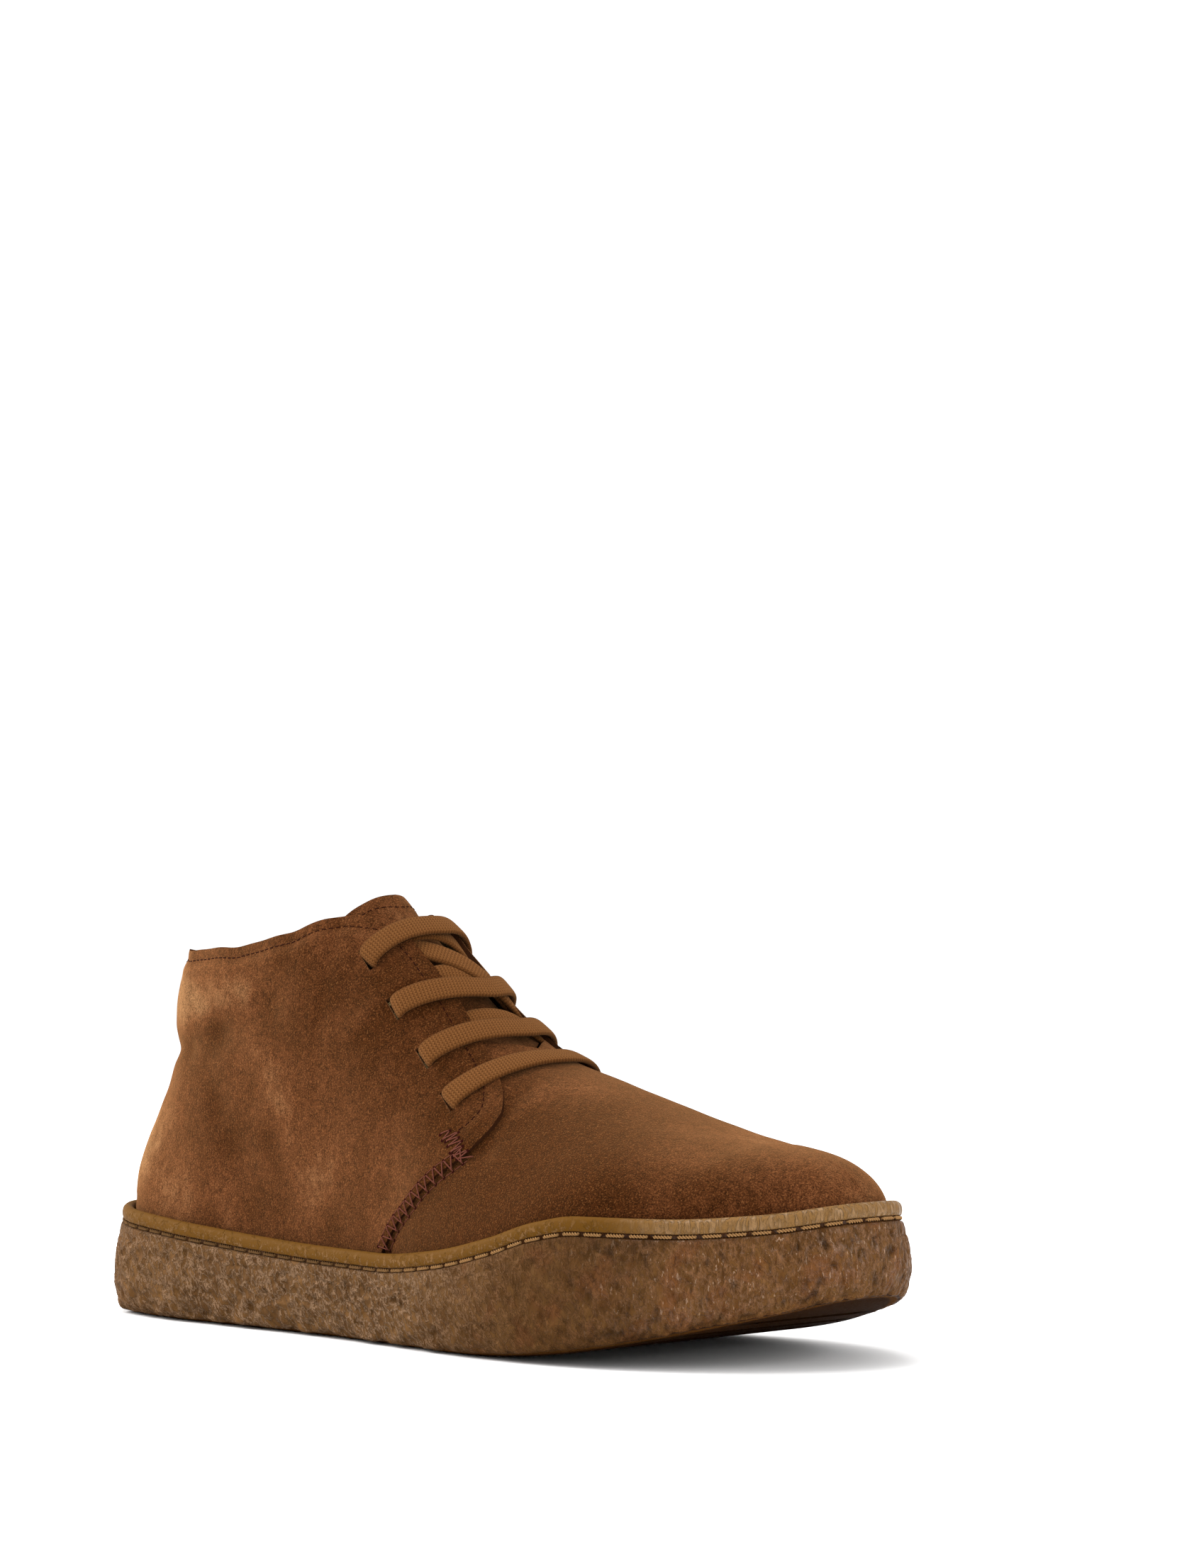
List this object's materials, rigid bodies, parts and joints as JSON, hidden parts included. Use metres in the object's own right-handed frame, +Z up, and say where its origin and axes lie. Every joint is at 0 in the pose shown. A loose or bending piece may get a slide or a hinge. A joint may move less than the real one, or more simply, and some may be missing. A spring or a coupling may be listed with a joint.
{
  "type": "chukka ankle boot",
  "caption": "Right-foot suede chukka boot on a moulded crepe-pattern rubber cupsole, with slotted facings and a flat lace.",
  "frame": {"origin": "on the floor, midway between the heel's back end and the toe tip and midway between the sole's sides", "axes": "+Z up, the toe points to -Y, the lateral side faces -X and the medial side +X"},
  "size_m": [0.1101, 0.3, 0.1333],
  "materials": {
    "crepe_rubber": "satin moulded rubber with a pebbled crepe side and a smooth rim",
    "suede": "brushed brown suede",
    "insole_textile": "matt woven lining cloth",
    "lace_cotton": "flat woven cotton"
  },
  "bodies": {
    "root": {"sole": "crepe_rubber", "upper": "suede", "tongue": "suede", "insole": "insole_textile", "lace": "lace_cotton"}
  },
  "joints": []
}
